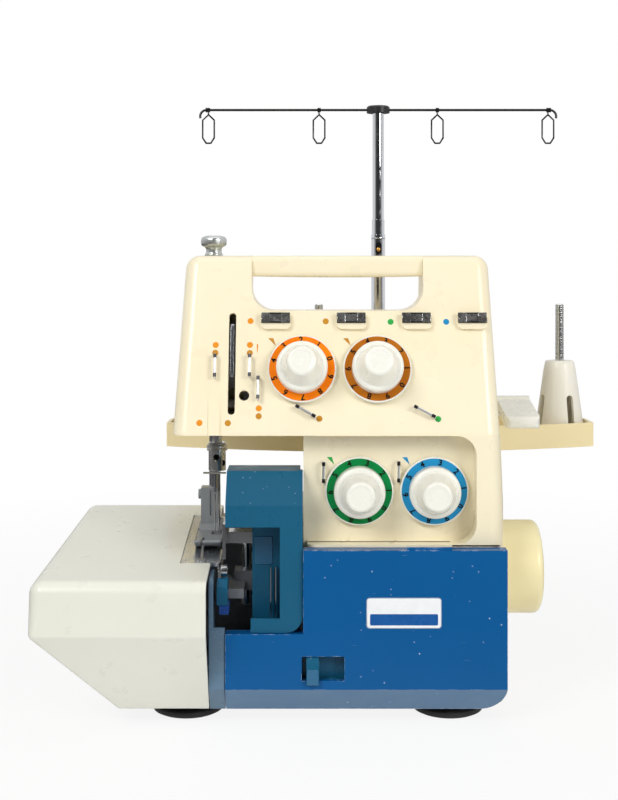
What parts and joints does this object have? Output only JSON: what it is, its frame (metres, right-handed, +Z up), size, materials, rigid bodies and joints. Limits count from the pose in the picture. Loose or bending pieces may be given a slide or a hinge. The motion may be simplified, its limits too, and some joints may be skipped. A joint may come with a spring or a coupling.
{
  "type": "serger overlock machine",
  "caption": "Domestic overlock machine with tension dials, swing-down looper cover, sliding cloth plate, handwheel and a telescopic thread stand.",
  "frame": {"origin": "middle of the footprint of the whole machine with its thread stand, on the table", "axes": "+X from the cloth plate to the handwheel, +Y from the operator's side to the thread stand, +Z up"},
  "size_m": [0.3661, 0.233, 0.3915],
  "materials": {
    "cast_metal": "sand cast, lightly machined",
    "foot_rubber": "soft matt",
    "cream_housing": "semi-gloss moulded",
    "blue_paint": "gloss paint with fine scratches",
    "teal_paint": "semi-gloss",
    "pale_plate": "semi-gloss",
    "bright_steel": "ground and polished",
    "white_knob": "gloss moulded",
    "orange_band": "printed band",
    "brown_band": "printed band",
    "green_band": "printed band",
    "blue_band": "printed band",
    "dark_steel": "blackened, brushed",
    "chromed": "bright chrome",
    "grey_foot": "satin",
    "butter_plastic": "semi-gloss, yellowed",
    "bronze": "sintered",
    "belt_rubber": "matt",
    "motor_case": "satin",
    "black_plastic": "fine grain",
    "knob_blue": "gloss",
    "cone_plastic": "satin"
  },
  "bodies": {
    "machine": {"cast_frame": "cast_metal", "foot_front_left": "foot_rubber", "foot_front_right": "foot_rubber", "foot_rear_left": "foot_rubber", "foot_rear_right": "foot_rubber", "front_housing": "cream_housing", "rear_housing": "cream_housing", "carry_handle": "cream_housing", "bed_cover": "cream_housing", "needle_cover": "teal_paint", "side_plate": "teal_paint", "needle_plate": "bright_steel", "tension_studs": "bright_steel", "tension_discs": "bright_steel", "tension_springs": "bright_steel", "pretension_clips": "dark_steel", "wire_guides": "chromed", "shaft_bearings": "bronze", "drive_belt": "belt_rubber", "motor": "motor_case", "power_inlet": "black_plastic", "hinge_pins": "bright_steel", "spool_tray": "butter_plastic", "spool_pins": "bright_steel", "cone_holders": "cone_plastic", "mast_lower": "chromed"},
    "left_needle_dial": {"dial_left_needle": "white_knob", "band_left_needle": "orange_band"},
    "right_needle_dial": {"dial_right_needle": "white_knob", "band_right_needle": "brown_band"},
    "upper_looper_dial": {"dial_upper_looper": "white_knob", "band_upper_looper": "green_band"},
    "lower_looper_dial": {"dial_lower_looper": "white_knob", "band_lower_looper": "blue_band"},
    "front_cover": {"looper_cover": "blue_paint", "tab_tray": "teal_paint"},
    "tab": {"stitch_tab": "teal_paint"},
    "side_table": {"cloth_plate": "pale_plate"},
    "feed": {"feed_dog": "bright_steel"},
    "take_up": {"take_up_lever": "bright_steel"},
    "pressure_knob": {"pressure_screw": "chromed"},
    "presser": {"presser_bar": "bright_steel", "presser_foot": "grey_foot"},
    "lifter": {"presser_lifter": "white_knob"},
    "needle_drive": {"needle_bar": "bright_steel", "needles": "bright_steel"},
    "looper_up": {"upper_looper": "bright_steel"},
    "looper_low": {"lower_looper": "bright_steel"},
    "knife_up": {"upper_knife": "bright_steel"},
    "knife_low": {"lower_knife": "bright_steel", "knife_holder": "teal_paint", "knife_knob": "knob_blue"},
    "wheel": {"handwheel": "butter_plastic", "main_shaft": "bright_steel"},
    "motor_rotor": {"motor_pulley": "bright_steel"},
    "mast_mid": {"mast_middle": "chromed"},
    "mast_top": {"mast_upper": "chromed", "mast_guide": "black_plastic", "guide_loops": "chromed"},
    "rocker": {"power_switch": "black_plastic"}
  },
  "joints": [
    {"name": "left_needle_tension", "type": "hinge", "parent": "machine", "child": "left_needle_dial", "pos_m": [-0.02492, -0.07707, 0.2106], "axis": [0, -0.9588, 0.284], "range_deg": [-209, 115]},
    {"name": "right_needle_tension", "type": "hinge", "parent": "machine", "child": "right_needle_dial", "pos_m": [0.02057, -0.07707, 0.2106], "axis": [0, -0.9588, 0.284], "range_deg": [-155, 169]},
    {"name": "upper_looper_tension", "type": "hinge", "parent": "machine", "child": "upper_looper_dial", "pos_m": [0.00972, -0.0745, 0.1373], "axis": [0, -1, 0], "range_deg": [-157, 167]},
    {"name": "lower_looper_tension", "type": "hinge", "parent": "machine", "child": "lower_looper_dial", "pos_m": [0.05513, -0.0745, 0.1373], "axis": [0, -1, 0], "range_deg": [-162, 162]},
    {"name": "cover_hinge", "type": "hinge", "parent": "machine", "child": "front_cover", "pos_m": [0.01582, -0.081, 0.016], "axis": [1, 0, 0], "range_deg": [0, 70]},
    {"name": "tab_slide", "type": "slide", "parent": "front_cover", "child": "tab", "axis": [1, 0, 0], "range_m": [0, 0.0135]},
    {"name": "cloth_plate_slide", "type": "slide", "parent": "machine", "child": "side_table", "axis": [-1, 0, 0], "range_m": [0, 0.06]},
    {"name": "needle_bar_slide", "type": "slide", "parent": "machine", "child": "needle_drive", "axis": [0, 0, 1], "range_m": [-0.006, 0.021]},
    {"name": "take_up_pivot", "type": "hinge", "parent": "machine", "child": "take_up", "pos_m": [-0.06738, -0.0435, 0.216], "axis": [1, 0, 0], "range_deg": [-3, 10.2]},
    {"name": "upper_knife_slide", "type": "slide", "parent": "machine", "child": "knife_up", "axis": [0, 0, 1], "range_m": [-0.0018, 0.0061]},
    {"name": "upper_looper_pivot", "type": "hinge", "parent": "machine", "child": "looper_up", "pos_m": [-0.04217, -0.0085, 0.084], "axis": [0, 1, 0], "range_deg": [-6.2, 2]},
    {"name": "lower_looper_pivot", "type": "hinge", "parent": "machine", "child": "looper_low", "pos_m": [-0.04618, -0.0135, 0.062], "axis": [0, 1, 0], "range_deg": [-8.2, 3]},
    {"name": "feed_slide", "type": "slide", "parent": "machine", "child": "feed", "axis": [0, 1, 0], "range_m": [-0.0016, 0.0016]},
    {"name": "lifter_pivot", "type": "hinge", "parent": "machine", "child": "lifter", "pos_m": [0.07583, 0.0115, 0.181], "axis": [1, 0, 0], "range_deg": [-18, 0]},
    {"name": "presser_slide", "type": "slide", "parent": "machine", "child": "presser", "axis": [0, 0, 1], "range_m": [0, 0.0079]},
    {"name": "pressure_turn", "type": "hinge", "parent": "machine", "child": "pressure_knob", "pos_m": [-0.08267, -0.0165, 0.28], "axis": [0, 0, 1], "range_deg": [-360, 360]},
    {"name": "knife_release", "type": "slide", "parent": "machine", "child": "knife_low", "axis": [1, 0, 0], "range_m": [0, 0.003]},
    {"name": "handwheel_turn", "type": "hinge", "parent": "machine", "child": "wheel", "pos_m": [0.07583, -0.0285, 0.081], "axis": [1, 0, 0], "continuous": true},
    {"name": "motor_turn", "type": "hinge", "parent": "machine", "child": "motor_rotor", "pos_m": [0.06782, 0.0075, 0.041], "axis": [1, 0, 0], "continuous": true},
    {"name": "mast_middle_slide", "type": "slide", "parent": "machine", "child": "mast_mid", "axis": [0, 0, 1], "range_m": [-0.009, 0]},
    {"name": "mast_upper_slide", "type": "slide", "parent": "mast_mid", "child": "mast_top", "axis": [0, 0, 1], "range_m": [-0.075, 0]},
    {"name": "switch_rock", "type": "hinge", "parent": "machine", "child": "rocker", "pos_m": [0.09333, 0.0155, 0.058], "axis": [0, 0, 1], "range_deg": [0, 16]}
  ],
  "couplings": [
    {"joint": "take_up_pivot", "follows": "needle_bar_slide", "rad_per_m": 8.3111},
    {"joint": "upper_knife_slide", "follows": "needle_bar_slide", "ratio": 0.2857},
    {"joint": "upper_looper_pivot", "follows": "needle_bar_slide", "rad_per_m": -4.9867},
    {"joint": "lower_looper_pivot", "follows": "needle_bar_slide", "rad_per_m": -6.6489},
    {"joint": "feed_slide", "follows": "needle_bar_slide", "ratio": 0.0714},
    {"joint": "presser_slide", "follows": "lifter_pivot", "m_per_rad": -0.0249},
    {"joint": "motor_turn", "follows": "handwheel_turn", "ratio": 3.5}
  ]
}
